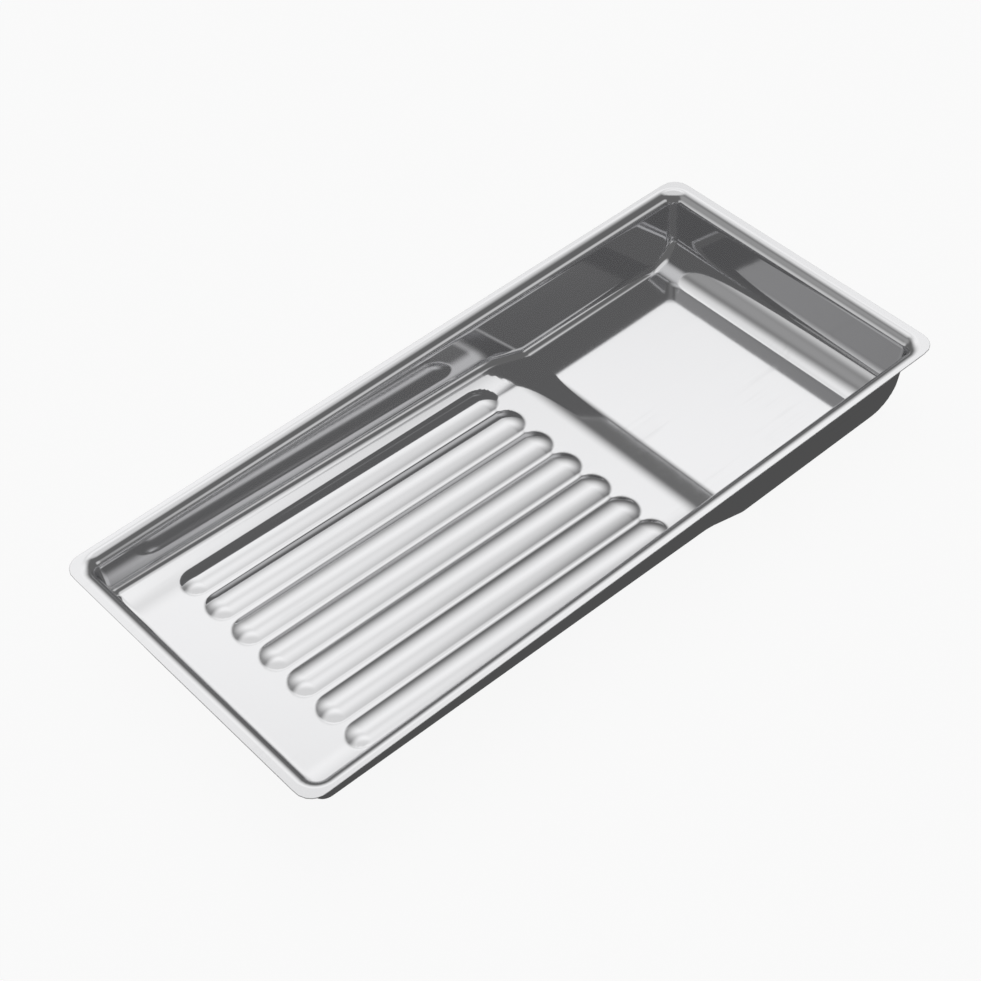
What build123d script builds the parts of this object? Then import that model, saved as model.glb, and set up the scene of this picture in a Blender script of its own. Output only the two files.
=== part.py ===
"""Paint roller tray: one deep-drawn stainless steel pan with a paint well and a ribbed ramp.

Millimetres, +Z up. X runs along the tray, from the shallow end (-X) to the well (+X).
Y runs across it. The origin is the centre of the rim's outline, on the plane that the
underside of the well stands on.

The pan is one sheet of even thickness. It is built as the difference of two blocks with
the same outline: the first fills everything below the sheet's upper face, the second
everything below its lower face. Each block is made by the same functions, where depth_in
is how far its face lies inside the sheet, measured from the upper face.
"""
from build123d import *
from math import cos, radians, sin, sqrt, tan
import os

# ---------------------------------------------------------------- driving dimensions
rim_length = 360.0          # outline of the rim, along X
rim_width = 165.0           # outline of the rim, along Y
rim_corner_radius = 8.5     # plan radius of the rim's four corners
side_flat = 1.8             # level part of the rim along both sides, from its edge to the lip bend
end_flat = 3.0              # the same at both ends
lip_radius = 6.5            # bend from the rim down into the walls, upper face
wall_draft = 5.5            # degrees that every wall leans outwards
side_fillet = 4.5           # side walls to the floor and to the end walls, upper face
sheet = 0.6                 # thickness of the steel

well_depth = 36.4           # rim top to the floor of the well, upper face
well_end_radius = 17.0      # floor of the well up into the deep end wall, upper face
step_drop = 5.6             # height of the ramp's floor above the well's, where the step starts
ramp_slope = 1.98           # degrees that the ramp rises towards the shallow end
shallow_end_radius = 7.0    # ramp up into the shallow end wall, upper face

step_top_x = 51.3           # where the ramp's slope and the step's slope meet
step_angle = 18.8           # degrees that the step falls below level
step_top_radius = 25.4      # bend from the ramp over into the step, upper face
step_foot_radius = 10.5     # bend from the step into the floor of the well, upper face

shoulder_y = 60.0           # where the ramp starts to rise towards each side wall
shoulder_slope = 11.3       # degrees that it rises there, across the tray

rib_count = 7               # ribs at even pitch
rib_pitch = 18.6
rib_radius = 22.0           # round back of a rib, upper face
rib_rise_shallow = 1.55      # height of a rib above the ramp, at its shallow end
rib_rise_deep = 1.9         # height of a rib above the ramp, at its deep end
rib_tip_shallow_x = -142.3  # where a rib's shallow end meets the ramp
rib_tip_deep_x = 34.9       # where a rib's deep end meets the ramp

# ---------------------------------------------------------------- worked-out sizes
well_z = sheet                              # upper face of the well's floor; its underside is at 0
rim_top = well_z + well_depth
draft_run = tan(radians(wall_draft))        # how far a wall leans for each mm of depth
lip_run = lip_radius * (1 / cos(radians(wall_draft)) - draft_run)  # from the flat to the wall
above_rim = rim_top + lip_radius            # where the hollow's solid is cut off
block_foot = -rim_top                       # where both blocks are cut off, below the pan


def wall_inset(flat, z):
    """How far a wall's upper face stands in from the rim's edge, at height z."""
    return flat + lip_run + (rim_top - z) * draft_run


def end_wall_x(z):
    """Distance of an end wall's upper face from the middle of the tray, at height z."""
    return rim_length / 2 - wall_inset(end_flat, z)


def side_wall_y(z):
    """Distance of a side wall's upper face from the middle of the tray, at height z."""
    return rim_width / 2 - wall_inset(side_flat, z)


def ramp_z(x):
    """Height of the ramp's upper face at x."""
    return well_z + step_drop + (step_top_x - x) * tan(radians(ramp_slope))


def length_section(depth_in):
    """The hollow's section along the tray: ramp, step, well and both end walls."""
    shallow_z = ramp_z(-end_wall_x(rim_top))
    step_run = step_drop / tan(radians(step_angle))
    floor = FilletPolyline(
        (-end_wall_x(above_rim), above_rim),
        (-end_wall_x(shallow_z), shallow_z),
        (step_top_x, ramp_z(step_top_x)),
        (step_top_x + step_run, well_z),
        (end_wall_x(well_z), well_z),
        (end_wall_x(above_rim), above_rim),
        radius=[shallow_end_radius, step_top_radius, step_foot_radius, well_end_radius],
    )
    return grown(make_face(floor + Line(floor @ 1, floor @ 0)), depth_in)


def cross_section(depth_in):
    """The hollow's section across the tray, to well below its floor."""
    face = make_face(
        Polyline(
            (-side_wall_y(above_rim), above_rim),
            (-side_wall_y(block_foot), block_foot),
            (side_wall_y(block_foot), block_foot),
            (side_wall_y(above_rim), above_rim),
            close=True,
        )
    )
    return grown(face, depth_in)


def grown(face, amount):
    """A section grown outwards by an even amount, with its corners kept sharp."""
    return offset(face, amount, kind=Kind.INTERSECTION) if amount else face


def hollow(depth_in):
    """Everything above the floor and between the walls, down to the ribs."""
    along = extrude(Plane.XZ * length_section(depth_in), rim_width, both=True)
    across = extrude(Plane.YZ * cross_section(depth_in), rim_length, both=True)
    solid = along & across
    for side in (-1, 1):
        solid -= shoulder(side, depth_in)
    side_walls = solid.faces().sort_by(Axis.Y)
    lid = solid.faces().sort_by(Axis.Z)[-1]
    rounded = (side_walls[0].edges() + side_walls[-1].edges()) - lid.edges()
    solid = fillet(rounded, side_fillet + depth_in)
    for index in range(rib_count):
        solid -= rib((index - (rib_count - 1) / 2) * rib_pitch, depth_in)
    return solid


def shoulder(side, depth_in):
    """Everything below a shoulder, the part of the ramp that rises to a side wall, and below the step."""
    slope, lean, fall = radians(ramp_slope), radians(shoulder_slope), radians(step_angle)
    up = Vector(sin(slope) * cos(lean), -side * sin(lean), cos(slope) * cos(lean))
    step_up = Vector(sin(fall), 0, cos(fall))
    crest = Vector(step_top_x, side * shoulder_y, ramp_z(step_top_x))
    ridge = up.cross(step_up).normalized()
    bend = FilletPolyline(
        crest - ridge.cross(up) * rim_length,
        crest,
        crest + ridge.cross(step_up) * rim_length,
        radius=step_top_radius,
    )
    below = Polyline(bend @ 1, crest - (up + step_up) * rim_length, bend @ 0)
    return extrude(grown(make_face(bend + below), -depth_in), rim_width, dir=ridge, both=True)


def rib(y, depth_in):
    """One rib: a round bar on a slanted axis with round ends, sunk into the ramp."""
    ends = []
    for tip_x, inwards, rise in (
        (rib_tip_shallow_x, 1, rib_rise_shallow),
        (rib_tip_deep_x, -1, rib_rise_deep),
    ):
        half_width = sqrt(rise * (2 * rib_radius - rise))
        x = tip_x + inwards * half_width
        ends.append(Vector(x, y, ramp_z(x) + rise - rib_radius))
    radius = rib_radius - depth_in
    axis = Plane(origin=ends[0], z_dir=ends[1] - ends[0])
    bar = extrude(axis * Circle(radius), (ends[1] - ends[0]).length)
    return bar + Pos(ends[0]) * Sphere(radius) + Pos(ends[1]) * Sphere(radius)


def block(depth_in):
    """Everything below one face of the sheet, inside the rim's outline."""
    top = rim_top - depth_in
    outline = RectangleRounded(rim_length, rim_width, rim_corner_radius)
    solid = extrude(Pos(0, 0, block_foot) * outline, top - block_foot)
    solid -= hollow(depth_in)
    rim = solid.faces().sort_by(Axis.Z)[-1]
    return fillet(rim.inner_wires()[0].edges(), lip_radius - depth_in)


def tray_pan():
    """The whole pan: what lies below the upper face but not below the lower face."""
    return block(0) - block(sheet)


os.makedirs("parts", exist_ok=True)
export_step(tray_pan(), "parts/tray_pan.step")
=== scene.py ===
"""Looks of a paint roller tray: one bright pan, deep drawn from a single sheet of stainless steel.

The pan's shape is a distance field: for a point in space it says how far the point lies from
the upper face of the sheet, below zero in the open air and above zero in the steel. Planes,
round bars and the fillets between them make it up. A mesh with its lines where the form
needs them is set down near that face and moved onto it, and the lower face is the same
mesh moved through the sheet.
"""

import math

import bpy
import numpy as np
from mathutils import Matrix, Vector


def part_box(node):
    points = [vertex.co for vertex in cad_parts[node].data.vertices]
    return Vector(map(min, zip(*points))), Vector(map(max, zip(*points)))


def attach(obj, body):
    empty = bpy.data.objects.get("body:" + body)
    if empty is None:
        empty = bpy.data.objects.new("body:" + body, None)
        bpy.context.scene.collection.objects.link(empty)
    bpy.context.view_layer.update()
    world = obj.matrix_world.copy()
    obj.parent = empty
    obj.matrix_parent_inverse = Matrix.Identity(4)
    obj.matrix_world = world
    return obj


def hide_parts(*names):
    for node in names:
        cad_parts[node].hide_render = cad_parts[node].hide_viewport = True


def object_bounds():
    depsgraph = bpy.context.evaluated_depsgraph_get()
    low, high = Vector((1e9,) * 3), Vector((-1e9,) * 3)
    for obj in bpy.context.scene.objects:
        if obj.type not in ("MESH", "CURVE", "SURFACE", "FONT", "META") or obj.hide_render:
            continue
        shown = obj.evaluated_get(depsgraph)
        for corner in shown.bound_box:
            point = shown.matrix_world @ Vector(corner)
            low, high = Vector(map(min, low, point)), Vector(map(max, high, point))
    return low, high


bl_info = {
    "name": "Paint Roller Tray",
    "version": (1, 0, 0),
    "blender": (4, 5, 0),
    "location": "3D View > Sidebar > Tray",
    "description": "Builds the polished steel pan of a paint roller tray around its packed CAD frame",
    "category": "Object",
}

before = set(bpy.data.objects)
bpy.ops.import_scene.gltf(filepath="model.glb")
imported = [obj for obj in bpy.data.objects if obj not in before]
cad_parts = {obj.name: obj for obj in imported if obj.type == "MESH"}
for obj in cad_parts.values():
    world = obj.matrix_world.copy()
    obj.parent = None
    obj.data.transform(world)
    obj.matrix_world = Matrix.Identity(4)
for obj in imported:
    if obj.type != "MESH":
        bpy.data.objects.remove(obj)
CAD_LOW, CAD_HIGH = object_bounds()
PAN_LOW, PAN_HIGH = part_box("tray_pan")
MM = 0.001


# ------------------------------------------------------------------ sizes and colours


def length(name, description, millimetres):
    """A property for a length, kept in metres."""
    return bpy.props.FloatProperty(
        name=name, description=description, default=millimetres * MM, unit="LENGTH", subtype="DISTANCE"
    )


def turn(name, description, degrees):
    """A property for an angle, kept in radians."""
    return bpy.props.FloatProperty(
        name=name, description=description, default=math.radians(degrees), unit="ROTATION", subtype="ANGLE"
    )


def colour(name, description, value):
    """A property for a colour."""
    return bpy.props.FloatVectorProperty(
        name=name, description=description, default=value, size=3, min=0, max=1, subtype="COLOR"
    )


class TraySizes(bpy.types.PropertyGroup):
    """The pan's driving sizes. All of them are for the upper face of the sheet."""

    rim_corner: length("Rim corner", "Plan radius of the rim's corners", 8.5)
    side_flat: length("Side flat", "Level part of the rim along both sides, up to the lip bend", 1.8)
    end_flat: length("End flat", "Level part of the rim at both ends", 3)
    lip_radius: length("Lip radius", "Bend from the rim down into the walls", 6.5)
    wall_draft: turn("Wall draft", "Angle that every wall leans outwards", 5.5)
    side_fillet: length("Side fillet", "Side walls to the floor and to the end walls", 4.5)
    sheet: length("Sheet", "Thickness of the steel", 0.6)
    edge_round: length("Edge round", "Radius on both sides of the rim's cut edge", 0.2)
    well_end: length("Well end radius", "Floor of the well up into the deep end wall", 17)
    step_drop: length("Step drop", "Height of the ramp's floor above the well's, at the step", 5.6)
    ramp_slope: turn("Ramp slope", "Angle that the ramp rises towards the shallow end", 1.98)
    shallow_end: length("Shallow end radius", "Ramp up into the shallow end wall", 7)
    shoulder_y: length("Shoulder place", "Where the ramp starts to rise towards the side walls, along Y", 60)
    shoulder_slope: turn("Shoulder slope", "Angle that the ramp rises towards the side walls", 11.3)
    shoulder_radius: length("Shoulder radius", "Bend from the ramp up into its shoulders", 65)
    step_x: length("Step place", "Where the ramp's slope and the step's slope meet, along X", 51.3)
    step_slope: turn("Step slope", "Angle that the step falls below level", 18.8)
    step_top: length("Step top radius", "Bend from the ramp over into the step", 25.4)
    step_foot: length("Step foot radius", "Bend from the step into the floor of the well", 10.5)
    rib_count: bpy.props.IntProperty(name="Ribs", description="Ribs on the ramp", default=7, min=1)
    rib_pitch: length("Rib pitch", "Distance from rib to rib", 18.6)
    rib_radius: length("Rib radius", "Round back of a rib", 22)
    rib_foot: length("Rib foot radius", "Fillet between a rib and the ramp", 4.1)
    rise_shallow: length("Rib rise, shallow end", "Height of a rib above the ramp", 1.55)
    rise_deep: length("Rib rise, deep end", "Height of a rib above the ramp", 1.9)
    tip_shallow: length("Rib tip, shallow end", "Where a rib's shallow end meets the ramp, along X", -142.3)
    tip_deep: length("Rib tip, deep end", "Where a rib's deep end meets the ramp, along X", 34.9)


class TrayFinish(bpy.types.PropertyGroup):
    """The polished steel."""

    steel: colour("Steel", "Colour that the polished face reflects", (0.80, 0.80, 0.81))
    rubbed_steel: colour("Rubbed steel", "Colour of the duller rubbed streaks", (0.77, 0.77, 0.78))
    polish: bpy.props.FloatProperty(
        name="Polish",
        description="Roughness of the smoothest areas",
        default=0.05,
        min=0,
        max=1,
        subtype="FACTOR",
    )


class TrayStudio(bpy.types.PropertyGroup):
    """Floor, lights and camera."""

    floor: colour("Floor", "Pale floor under the tray", (0.93, 0.93, 0.93))
    floor_size: length("Floor size", "Side of the floor", 8000)
    room: bpy.props.FloatProperty(
        name="Room", description="Light from low down in the room, all round", default=0.15, min=0
    )
    ceiling: bpy.props.FloatProperty(
        name="Ceiling", description="Light from straight above", default=0.8, min=0
    )
    focal_length: bpy.props.FloatProperty(
        name="Focal length", description="Lens of the camera, in mm", default=79.35, min=1
    )
    view_azimuth: turn("View azimuth", "Where the camera stands, round from -Y towards +X", -39.32)
    view_elevation: turn("View elevation", "How far above level the camera stands", 47.07)
    view_roll: turn("View roll", "Turn of the camera about its line of sight", -3.51)
    view_distance: length("View distance", "From the camera to the point it looks at", 915.2)
    view_x: length("View point X", "Point that the camera looks at, from the rim's centre", -23.4)
    view_y: length("View point Y", "Point that the camera looks at, from the rim's centre", -9.85)


# ------------------------------------------------------------------ distance field


class Field:
    """Signed distance of many points from a surface, and its gradient, a unit vector at each point."""

    def __init__(self, value, gradient):
        self.value = value
        self.gradient = np.broadcast_to(gradient, (len(value), 3))

    def __neg__(self):
        return Field(-self.value, -self.gradient)

    def rounded_max(self, other, radius):
        """The greater of two distances, with a fillet where the two surfaces meet.

        In the plane of both gradients, the fillet's centre lies one radius inside both surfaces.
        A point whose offset from that centre is a positive sum of the two gradients is as far
        from the fillet as the offset's length less the radius.
        """
        a, b = self.value + radius, other.value + radius
        cosine = (self.gradient * other.gradient).sum(1)
        spread = np.maximum(1 - cosine**2, 1e-9)
        along_a = (a - cosine * b) / spread
        along_b = (b - cosine * a) / spread
        offset = along_a[:, None] * self.gradient + along_b[:, None] * other.gradient
        reach = np.maximum(np.linalg.norm(offset, axis=1), 1e-9)
        on_fillet = (along_a > 0) & (along_b > 0)
        greater = np.where((self.value > other.value)[:, None], self.gradient, other.gradient)
        return Field(
            np.where(on_fillet, reach - radius, np.maximum(self.value, other.value)),
            np.where(on_fillet[:, None], offset / reach[:, None], greater),
        )


class PanShape:
    """The upper face of the pan, from its sizes."""

    def __init__(self, sizes):
        self.s = sizes
        self.half_length = (PAN_HIGH.x - PAN_LOW.x) / 2
        self.half_width = (PAN_HIGH.y - PAN_LOW.y) / 2
        self.rim_top = PAN_HIGH.z
        self.well_z = PAN_LOW.z + sizes.sheet
        self.draft_run = math.tan(sizes.wall_draft)
        bend = sizes.lip_radius * (1 / math.cos(sizes.wall_draft) - self.draft_run)
        self.side = self.half_width - sizes.side_flat - bend
        self.end = self.half_length - sizes.end_flat - bend
        self.step_foot_x = sizes.step_x + sizes.step_drop / math.tan(sizes.step_slope)
        self.shallow_x = -self.wall_out(self.end, self.ramp_z(-self.end))
        self.deep_x = self.wall_out(self.end, self.well_z)

    def wall_out(self, half, z):
        """Distance of a wall's face from the tray's middle at height z, where half is that at the rim."""
        return half - (self.rim_top - z) * self.draft_run

    def ramp_z(self, x):
        """Height of the ramp at x."""
        return self.well_z + self.s.step_drop + (self.s.step_x - x) * math.tan(self.s.ramp_slope)

    def floor_z(self, x):
        """Height at x of ramp, step and well, with sharp corners and no ribs."""
        step = self.well_z + (self.step_foot_x - x) * math.tan(self.s.step_slope)
        return np.maximum(np.minimum(self.ramp_z(x), step), self.well_z)

    def slope(self, p, x, z, angle):
        """Distance from a plane through (x, z) that falls by angle towards +X."""
        down = np.array([math.sin(angle), 0, math.cos(angle)])
        return Field((np.array([x, 0, z]) - p) @ down, -down)

    def shoulder(self, p):
        """Distance from the planes that rise from the ramp towards both side walls."""
        s = self.s
        side = np.sign(p[:, 1]) + (p[:, 1] == 0)
        lean, level = math.sin(s.shoulder_slope), math.cos(s.shoulder_slope)
        face = np.column_stack(
            [
                np.full(len(p), math.sin(s.ramp_slope) * level),
                -side * lean,
                np.full(len(p), math.cos(s.ramp_slope) * level),
            ]
        )
        crest = np.full(len(p), self.ramp_z(s.step_x))
        foot = np.column_stack([np.full(len(p), s.step_x), side * s.shoulder_y, crest])
        return Field(((foot - p) * face).sum(1), -face)

    def wall(self, p, axis, half):
        """Distance from a pair of drafted walls across one axis."""
        gradient = np.zeros_like(p)
        gradient[:, axis] = np.sign(p[:, axis]) * math.cos(self.s.wall_draft)
        gradient[:, 2] = -math.sin(self.s.wall_draft)
        out = np.abs(p[:, axis]) - self.wall_out(half, p[:, 2])
        return Field(out * math.cos(self.s.wall_draft), gradient)

    def rib(self, p, y):
        """Distance from a round bar with round ends. Its axis lies in the plane at y, one for each point."""
        ends = []
        for tip, inwards, rise in (
            (self.s.tip_shallow, 1, self.s.rise_shallow),
            (self.s.tip_deep, -1, self.s.rise_deep),
        ):
            x = tip + inwards * math.sqrt(rise * (2 * self.s.rib_radius - rise))
            ends.append(np.array([x, 0, self.ramp_z(x) + rise - self.s.rib_radius]))
        run = ends[1] - ends[0]
        local = p - y[:, None] * np.array([0, 1, 0])
        share = np.clip((local - ends[0]) @ run / (run @ run), 0, 1)
        away = local - ends[0] - share[:, None] * run
        distance = np.maximum(np.linalg.norm(away, axis=1), 1e-9)
        return Field(self.s.rib_radius - distance, -away / distance[:, None])

    def ribs(self, p):
        """The nearest rib and the next one, with the valley between them rounded."""
        last = (self.s.rib_count - 1) / 2
        pitch = self.s.rib_pitch
        nearest = np.clip(np.round(p[:, 1] / pitch + last), 0, 2 * last) - last
        side = np.where(p[:, 1] / pitch > nearest, 1, -1)
        side = np.where(np.abs(nearest + side) > last, -side, side)
        following = self.rib(p, (nearest + side) * pitch)
        return self.rib(p, nearest * pitch).rounded_max(following, self.s.rib_foot)

    def field(self, p):
        """Distance of points from the upper face of floor and walls.

        The ribs are filleted into the ramp, the ramp bends over into the step, the step into
        the well, the floor into the end walls and then into the side walls.
        """
        s = self.s
        ramp = self.slope(p, s.step_x, self.ramp_z(s.step_x), s.ramp_slope)
        ramp = ramp.rounded_max(self.shoulder(p), s.shoulder_radius).rounded_max(self.ribs(p), s.rib_foot)
        step = self.slope(p, self.step_foot_x, self.well_z, s.step_slope)
        well = self.slope(p, 0, self.well_z, 0)
        floor = (-(-ramp).rounded_max(-step, s.step_top)).rounded_max(well, s.step_foot)
        end_radius = np.where(p[:, 0] > 0, s.well_end, s.shallow_end)
        section = floor.rounded_max(self.wall(p, 0, self.end), end_radius)
        return section.rounded_max(self.wall(p, 1, self.side), s.side_fillet)

    def settle(self, p, rounds=6):
        """Points moved along the gradient onto the upper face, and the gradient there."""
        for _ in range(rounds):
            field = self.field(p)
            p = p - field.value[:, None] * field.gradient
        return p, self.field(p).gradient


# ------------------------------------------------------------------ mesh of the pan

# Loops of points up the walls, over the lip bend, over the level rim and round each half of its edge.
WALL_ROWS = 14
LIP_ROWS = 12
FLAT_ROWS = 2
EDGE_ROWS = 3


def lines(*stretches):
    """Places of grid lines. Each stretch runs from its start to the next one's, in about its own steps."""
    places = []
    for (start, step), (end, _) in zip(stretches[:-1], stretches[1:]):
        count = max(1, round((end - start) / step))
        places.append(np.linspace(start, end, count, endpoint=False))
    return np.append(np.concatenate(places), stretches[-1][0])


def along_lines(shape):
    """Grid lines across the floor, close together at both ends, the rib tips and the step."""
    s = shape.s
    tip = 14 * MM
    return lines(
        (shape.shallow_x, 1 * MM),
        (shape.shallow_x + 10 * MM, 3 * MM),
        (s.tip_shallow - 2 * MM, 0.85 * MM),
        (s.tip_shallow + tip, 8 * MM),
        (s.tip_deep - tip, 0.85 * MM),
        (s.tip_deep + 2 * MM, 2.2 * MM),
        (s.step_x - 5 * MM, 1 * MM),
        (s.step_x + 5 * MM, 1.6 * MM),
        (shape.step_foot_x - 2 * MM, 0.4 * MM),
        (shape.step_foot_x + 2 * MM, 7 * MM),
        (shape.deep_x - s.well_end, 1.4 * MM),
        (shape.deep_x, 0),
    )


def across_lines(shape):
    """Grid lines along the floor, one set for each rib and close together in the valleys."""
    s = shape.s
    valley = 2.2 * MM
    edge = shape.wall_out(shape.side, shape.well_z)
    inner = s.rib_count / 2 * s.rib_pitch
    stretches = [(-edge, 0.9 * MM), (-inner - valley, 0.4 * MM)]
    for index in range(s.rib_count):
        start = index * s.rib_pitch - inner
        stretches += [(start + valley, 1.25 * MM), (start + s.rib_pitch - valley, 0.4 * MM)]
    stretches += [(inner + valley, 0.9 * MM), (edge, 0)]
    return lines(*stretches)


def floor_points(shape, xs, ys):
    """Grid of floor points. Outside the ribs' feet the lines spread to reach the walls at each x."""
    x, y = np.meshgrid(xs, ys, indexing="ij")
    z = shape.floor_z(x)
    kept = shape.s.rib_count / 2 * shape.s.rib_pitch
    edge = ys[-1]
    reach = shape.wall_out(shape.side, z)
    spread = kept + (np.abs(y) - kept) * (reach - kept) / (edge - kept)
    y = np.where(np.abs(y) > kept, np.sign(y) * spread, y)
    return np.stack([x, y, z], -1)


def border(grid):
    """The grid's outer loop of points or numbers, once round, anticlockwise from above."""
    return np.concatenate([grid[:-1, 0], grid[-1, :-1], grid[:0:-1, -1], grid[0, :0:-1]])


def wall_top(shape, foot):
    """Height at which the wall above each foot point goes over into the lip bend.

    There the bend's centre, one lip radius into the steel, lies one lip radius below the rim.
    """
    top = np.full(len(foot), shape.rim_top - shape.s.lip_radius)
    for _ in range(5):
        points, gradient = shape.settle(wall_points(shape, foot, top))
        top += shape.rim_top - shape.s.lip_radius * (1 + gradient[:, 2]) - points[:, 2]
    return top


def wall_points(shape, foot, z):
    """Points near the walls, above the floor's border at the heights z."""
    grow = [shape.wall_out(half, z) / shape.wall_out(half, foot[:, 2]) for half in (shape.end, shape.side)]
    return np.stack([foot[:, 0] * grow[0], foot[:, 1] * grow[1], z], -1)


def wall_rows(shape, foot, count):
    """Loops of points up the walls from the floor's border to the lip bend, closer together low down."""
    top = wall_top(shape, foot)
    shares = (np.arange(1, count + 1) / count) ** 1.5
    return [wall_points(shape, foot, foot[:, 2] + share * (top - foot[:, 2])) for share in shares]


def rim_reach(shape, points, outwards):
    """How far each point is from the rim's outline, in its own level direction outwards.

    The outline is a rectangle with round corners: the distance from it is the length of what
    lies outside the inner rectangle of the corners' centres, less the corner radius.
    """
    radius = shape.s.rim_corner
    inner = np.array([shape.half_length, shape.half_width]) - radius
    reach = np.zeros(len(points))
    for _ in range(8):
        at = points[:, :2] + reach[:, None] * outwards
        beyond = np.maximum(np.abs(at) - inner, 0)
        distance = np.maximum(np.linalg.norm(beyond, axis=1), 1e-9)
        facing = (np.sign(at) * beyond / distance[:, None] * outwards).sum(1)
        reach -= (distance - radius) / np.maximum(facing, 0.5)
    return reach


def lip_rows(shape, top, gradient, bends, flats):
    """Loops over the lip bend and the level rim, with their gradients, to where the cut edge is rounded.

    The bend is an arc about a centre one lip radius inside the steel, turned from the wall's
    direction up to level. The flat runs from there to the outline.
    """
    s = shape.s
    outwards = gradient[:, :2] / np.linalg.norm(gradient[:, :2], axis=1)[:, None]
    level = np.column_stack([outwards, np.zeros(len(top))])
    up = np.array([0, 0, 1.0])
    centre = top + s.lip_radius * gradient
    side = up - gradient[:, 2:] * gradient
    side /= np.linalg.norm(side, axis=1)[:, None]
    whole = np.arccos(-gradient[:, 2:])
    rows = []
    for share in np.arange(1, bends + 1) / bends:
        facing = np.sin(share * whole) * side - np.cos(share * whole) * gradient
        rows.append((centre + s.lip_radius * facing, -facing))
    last = rows[-1][0]
    reach = rim_reach(shape, last, outwards) - s.edge_round
    for share in np.arange(1, flats + 1) / flats:
        rows.append((last + share * reach[:, None] * level, np.tile(-up, (len(top), 1))))
    return rows, level


def edge_rows(shape, upper, level, bends):
    """Loops round the cut edge and their normals, from the upper face of the rim to the lower one.

    The edge is two quarter rounds: each point lies one radius from a quarter's centre line,
    along its normal, which turns from up to level and on to down.
    """
    s = shape.s
    up = np.array([0, 0, 1.0])
    angles = (np.arange(bends) + 0.5) / bends * math.pi / 2
    rows = []
    for side, centre_z, turned in ((1, -s.edge_round, angles), (-1, s.edge_round - s.sheet, angles[::-1])):
        for angle in turned:
            normal = math.sin(angle) * level + side * math.cos(angle) * up
            rows.append((upper + centre_z * up + s.edge_round * normal, normal))
    return rows


def pan_mesh(shape):
    """Points, normals and faces of the closed pan.

    A grid covers the floor. Loops of points run from its border up the walls, over the lip,
    round the cut edge and back down the lower faces to the border of a second grid, which is
    the first one moved through the sheet.
    """
    xs, ys = along_lines(shape), across_lines(shape)
    grid = floor_points(shape, xs, ys)
    floor, into_steel = shape.settle(grid.reshape(-1, 3))
    foot = border(grid)
    upper = [shape.settle(row) for row in wall_rows(shape, foot, WALL_ROWS)]
    lips, level = lip_rows(shape, *upper[-1], LIP_ROWS, FLAT_ROWS)
    upper += lips
    sheet = shape.s.sheet
    loops = [(row, -gradient) for row, gradient in upper]
    loops += edge_rows(shape, upper[-1][0], level, EDGE_ROWS)
    loops += [(row + sheet * gradient, gradient) for row, gradient in reversed(upper)]
    points = np.concatenate([floor] + [row for row, _ in loops] + [floor + sheet * into_steel])
    normals = np.concatenate([-into_steel] + [normal for _, normal in loops] + [into_steel])

    number = np.arange(len(floor)).reshape(len(xs), len(ys))
    ring = len(foot)
    lower_start = number.size + ring * len(loops)
    rows = [border(number)]
    rows += [number.size + ring * index + np.arange(ring) for index in range(len(loops))]
    rows.append(border(number) + lower_start)
    faces = [quads(number)]
    for near, far in zip(rows[:-1], rows[1:]):
        faces.append(np.stack([near, far, np.roll(far, -1), np.roll(near, -1)], -1))
    faces.append(quads(number)[:, ::-1] + lower_start)
    return points, normals, np.concatenate(faces)


def quads(number):
    """The faces between a grid's point numbers, anticlockwise from above."""
    return np.stack([number[:-1, :-1], number[1:, :-1], number[1:, 1:], number[:-1, 1:]], -1).reshape(-1, 4)


# ------------------------------------------------------------------ shader maths


class Socket:
    """A node's output, with the arithmetic that builds Math nodes."""

    def __init__(self, nodes, output):
        self.nodes = nodes
        self.output = output

    def math(self, operation, *values):
        return self.nodes.add("ShaderNodeMath", {"operation": operation}, *values)

    def __add__(self, other):
        return self.math("ADD", self, other)

    def __sub__(self, other):
        return self.math("SUBTRACT", self, other)

    def __rsub__(self, other):
        return self.math("SUBTRACT", other, self)

    def __mul__(self, other):
        return self.math("MULTIPLY", self, other)

    def __truediv__(self, other):
        return self.math("DIVIDE", self, other)

    __radd__ = __add__
    __rmul__ = __mul__


class Nodes:
    """A node tree being built."""

    def __init__(self, owner):
        owner.use_nodes = True
        self.tree = owner.node_tree
        self.tree.nodes.clear()

    def add(self, kind, settings=None, *values, out=0, **named):
        """Adds a node: its settings first, then its inputs by place or by name. Gives one output."""
        node = self.tree.nodes.new(kind)
        for name, value in (settings or {}).items():
            setattr(node, name, value)
        inputs = dict(enumerate(values))
        inputs.update({name.replace("_", " "): value for name, value in named.items()})
        for key, value in inputs.items():
            if isinstance(value, Socket):
                self.tree.links.new(value.output, node.inputs[key])
            else:
                node.inputs[key].default_value = value
        return Socket(self, node.outputs[out]) if len(node.outputs) else None

    def dot(self, vector, other):
        """Dot product of two vectors."""
        return self.add("ShaderNodeVectorMath", {"operation": "DOT_PRODUCT"}, vector, other, out=1)

    def blend(self, value, start, end, first, last):
        """Goes smoothly from first to last while a value goes from start to end."""
        settings = {"interpolation_type": "SMOOTHSTEP"}
        return self.add("ShaderNodeMapRange", settings, value, start, end, first, last)

    def mix(self, share, first, second):
        """Goes from the first colour to the second while share goes from 0 to 1."""
        mixed = self.add("ShaderNodeMix", {"data_type": "RGBA"}, share, out=2)
        for index, shade in ((6, first), (7, second)):
            mixed.output.node.inputs[index].default_value = (*shade, 1)
        return mixed


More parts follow.
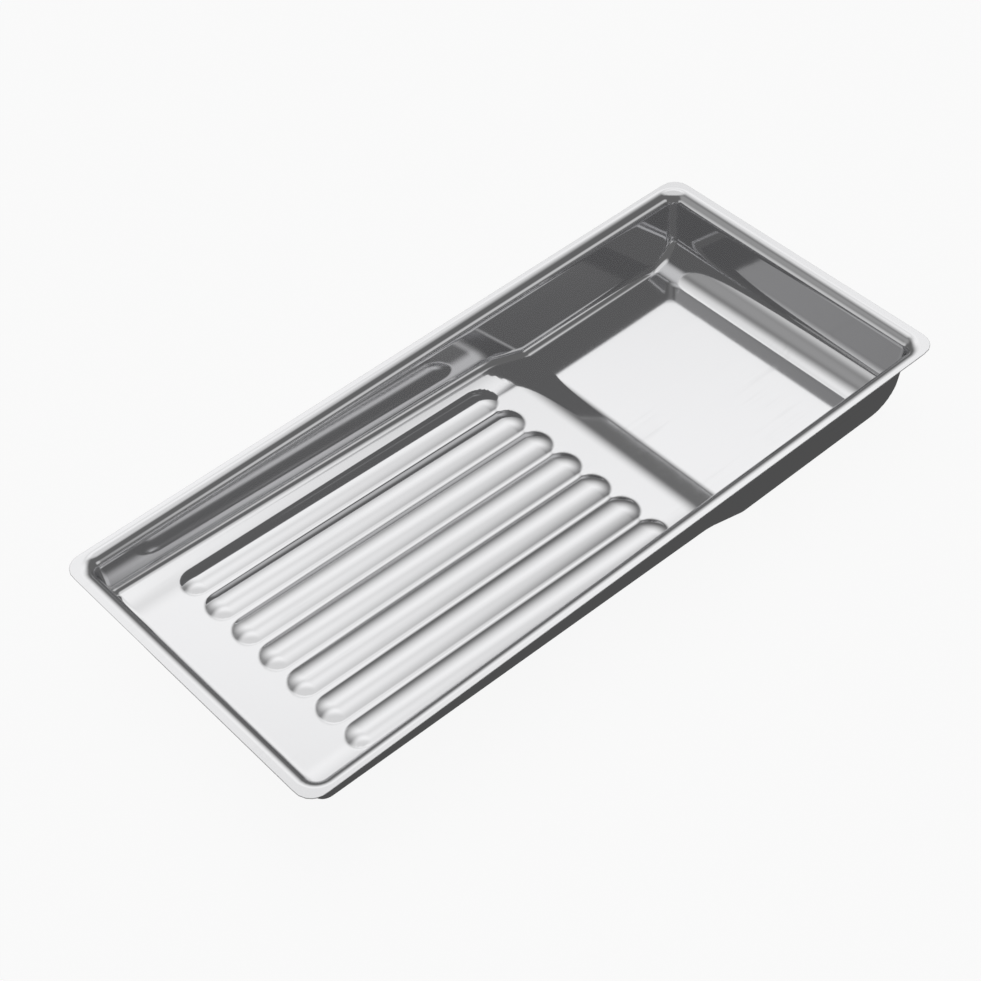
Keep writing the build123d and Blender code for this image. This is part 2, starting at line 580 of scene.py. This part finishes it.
def polished_steel(finish):
    """Bright rolled and polished stainless steel.

    Fine lines and wider streaks run along the rolling direction, the sheet is very slightly
    wavy from the press, and faint cloudy patches and rubbed streaks are duller.
    """
    material = bpy.data.materials.new("polished_steel")
    nodes = Nodes(material)
    place = nodes.add("ShaderNodeTexCoord", out=3)

    def noise(stretch, scale, detail):
        stretched = nodes.add("ShaderNodeVectorMath", {"operation": "MULTIPLY"}, place, (stretch, 1, 1))
        return nodes.add("ShaderNodeTexNoise", {}, stretched, Scale=scale, Detail=detail, Roughness=0.55)

    grain = noise(0.02, 2600.0, 3.0)
    streaks = noise(0.012, 420.0, 4.0)
    waves = noise(0.3, 48.0, 1.0)
    cloud = noise(1, 22.0, 3.0)
    rubbed = nodes.blend(streaks * cloud, 0.3, 0.5, 0, 1)
    height = 0.4 * waves + 0.035 * streaks + 0.01 * grain
    shader = nodes.add(
        "ShaderNodeBsdfPrincipled",
        {},
        Base_Color=nodes.mix(rubbed, finish.steel, finish.rubbed_steel),
        Metallic=1.0,
        Roughness=finish.polish + 0.02 * grain + 0.02 * cloud + 0.04 * rubbed,
        Normal=nodes.add("ShaderNodeBump", {}, Strength=1.0, Distance=0.1 * MM, Height=height),
    )
    nodes.add("ShaderNodeOutputMaterial", {}, shader)
    return material


# ------------------------------------------------------------------ studio

# Soft panels far away: azimuth from +Y towards +X and elevation of the middle in degrees,
# half width, half height and softness of the edges in widths per distance, and level.
# The camera sees each one mirrored somewhere: the key in level steel, the end fill in the deep
# end wall by way of the well's floor, the low fill in the bend of that wall's lip, and the side
# strip as a thin line along the lip of the far side.
PANELS = {
    "key": (40, 47, 0.5, 0.3, 0.35, 0.95),
    "end_fill": (-45, 40, 0.3, 0.3, 0.2, 0.2),
    "low_fill": (-60, 10, 0.4, 0.2, 0.2, 0.5),
    "side_strip": (150, 20, 0.2, 0.15, 0.1, 0.5),
}

# Elevations between which the dim room goes over into the pale ceiling.
CEILING_EDGE = (55, 70)

# A dark card lies on the floor, under the tray and past its near side and both ends, and shows
# in reflections only. Two opposite corners, in metres along and across the tray.
FLAG = ((-0.23, -0.15), (0.22, 0.05))
FLAG_GREY = (0.09, 0.09, 0.09)

# How much of the floor is plain white to the camera and in the steel. The rest takes the shadow.
FLOOR_WHITE = 0.92


def towards(azimuth, elevation):
    """Unit vector from an azimuth, from +Y towards +X, and an elevation."""
    level = math.cos(elevation)
    return Vector((math.sin(azimuth) * level, math.cos(azimuth) * level, math.sin(elevation)))


def soft_panel(nodes, direction, azimuth, elevation, half_width, half_height, soft, level):
    """Light of a flat far panel, full inside and fading out smoothly over its edges."""
    facing = towards(math.radians(azimuth), math.radians(elevation))
    across = towards(math.radians(azimuth + 90), 0)
    upright = across.cross(facing)
    depth = nodes.dot(direction, facing)
    light = depth.math("GREATER_THAN", depth, 0.01) * level
    for axis, half in ((across, half_width), (upright, half_height)):
        side = nodes.dot(direction, axis)
        offset = side.math("ABSOLUTE", side) / depth
        light = light * nodes.blend(offset, half - soft, half + soft, 1, 0)
    return light


def studio_light(studio):
    """World: a dim room under a pale ceiling, with soft panels round it, and white to the camera."""
    world = bpy.data.worlds.new("studio")
    nodes = Nodes(world)
    direction = nodes.add("ShaderNodeTexCoord", out=0)
    height = nodes.dot(direction, (0, 0, 1))
    low, high = (math.sin(math.radians(edge)) for edge in CEILING_EDGE)
    light = nodes.blend(height, low, high, studio.room, studio.ceiling)
    for panel in PANELS.values():
        light = light + soft_panel(nodes, direction, *panel)
    camera = nodes.add("ShaderNodeLightPath")
    strength = light.math("MAXIMUM", light, camera)
    background = nodes.add("ShaderNodeBackground", {}, (1, 1, 1, 1), strength)
    nodes.add("ShaderNodeOutputWorld", {}, background)
    return world


def pale_floor(studio):
    """Floor that keeps the tray's shadow and is otherwise white to the camera and in the steel."""
    material = bpy.data.materials.new("pale_floor")
    nodes = Nodes(material)
    diffuse = nodes.add("ShaderNodeBsdfDiffuse", {}, (*studio.floor, 1))
    white = nodes.add("ShaderNodeEmission", {}, (1, 1, 1, 1), 1.0)
    camera = nodes.add("ShaderNodeLightPath", out=0)
    glossy = nodes.add("ShaderNodeLightPath", out=3)
    through = nodes.add("ShaderNodeLightPath", out=6)
    share = FLOOR_WHITE * camera.math("MAXIMUM", camera, camera.math("MAXIMUM", glossy, through))
    nodes.add("ShaderNodeOutputMaterial", {}, nodes.add("ShaderNodeMixShader", {}, share, diffuse, white))
    return material


def dark_flag():
    """Card of one even dark grey, whatever light falls on it."""
    material = bpy.data.materials.new("dark_flag")
    nodes = Nodes(material)
    grey = nodes.add("ShaderNodeEmission", {}, (*FLAG_GREY, 1), 1.0)
    nodes.add("ShaderNodeOutputMaterial", {}, grey)
    return material


def stage_card(scene, name, low, high, z, material):
    """A level rectangle for the studio, such as the floor or a card."""
    mesh = bpy.data.meshes.new(name)
    corners = [(low[0], low[1], z), (high[0], low[1], z), (high[0], high[1], z), (low[0], high[1], z)]
    mesh.from_pydata(corners, [], [(0, 1, 2, 3)])
    mesh.materials.append(material)
    card = bpy.data.objects.new(name, mesh)
    scene.collection.objects.link(card)
    return card


def camera_at(scene, studio):
    """Camera that looks at a point over the tray, from an azimuth, an elevation and a distance."""
    camera = bpy.data.cameras.new("camera")
    camera.lens = studio.focal_length
    camera.clip_start = 0.01
    holder = bpy.data.objects.new("camera", camera)
    scene.collection.objects.link(holder)
    back = towards(math.pi - studio.view_azimuth, studio.view_elevation)
    right = Vector((0, 0, 1)).cross(back).normalized()
    matrix = Matrix((right, back.cross(right), back)).transposed().to_4x4()
    target = Vector((studio.view_x, studio.view_y, PAN_HIGH.z))
    matrix = Matrix.Translation(target + back * studio.view_distance) @ matrix
    holder.matrix_world = matrix @ Matrix.Rotation(studio.view_roll, 4, "Z")
    return holder


# ------------------------------------------------------------------ operators


class TRAY_OT_pan(bpy.types.Operator):
    """Build the pan: rim, lip, walls, ribbed ramp, step and well in one sheet"""

    bl_idname = "tray.pan"
    bl_label = "Pan"

    def execute(self, context):
        points, normals, faces = pan_mesh(PanShape(context.scene.tray_sizes))
        mesh = bpy.data.meshes.new("pressed_pan")
        mesh.from_pydata(points, [], faces.tolist())
        mesh.polygons.foreach_set("use_smooth", np.ones(len(faces), bool))
        mesh.normals_split_custom_set_from_vertices(normals)
        pan = bpy.data.objects.new("pressed_pan", mesh)
        context.scene.collection.objects.link(pan)
        mesh.materials.append(polished_steel(context.scene.tray_finish))
        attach(pan, "root")
        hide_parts("tray_pan")
        return {"FINISHED"}


class TRAY_OT_studio(bpy.types.Operator):
    """Set out the floor, the lights and the camera"""

    bl_idname = "tray.studio"
    bl_label = "Studio"

    def execute(self, context):
        scene = context.scene
        studio = scene.tray_studio
        scene.view_settings.view_transform = "Standard"
        scene.world = studio_light(studio)
        half = studio.floor_size / 2
        stage_card(scene, "floor", (-half, -half), (half, half), CAD_LOW.z, pale_floor(studio))
        flag = stage_card(scene, "flag", *FLAG, CAD_LOW.z + 0.5 * MM, dark_flag())
        flag.visible_camera = flag.visible_diffuse = flag.visible_shadow = False
        scene.camera = camera_at(scene, studio)
        return {"FINISHED"}


class TRAY_PT_panel(bpy.types.Panel):
    """The tray's operators in the sidebar"""

    bl_idname = "TRAY_PT_panel"
    bl_label = "Paint roller tray"
    bl_space_type = "VIEW_3D"
    bl_region_type = "UI"
    bl_category = "Tray"

    def draw(self, context):
        for operator in OPERATORS:
            self.layout.operator(operator.bl_idname)


GROUPS = {"tray_sizes": TraySizes, "tray_finish": TrayFinish, "tray_studio": TrayStudio}
OPERATORS = (TRAY_OT_pan, TRAY_OT_studio)


def register():
    for kind in (*GROUPS.values(), *OPERATORS, TRAY_PT_panel):
        bpy.utils.register_class(kind)
    for name, group in GROUPS.items():
        setattr(bpy.types.Scene, name, bpy.props.PointerProperty(type=group))


def unregister():
    for name in GROUPS:
        delattr(bpy.types.Scene, name)
    for kind in (TRAY_PT_panel, *reversed(OPERATORS), *reversed(list(GROUPS.values()))):
        bpy.utils.unregister_class(kind)


def main():
    register()
    bpy.ops.tray.pan()
    bpy.ops.tray.studio()


if __name__ == "__main__":
    main()
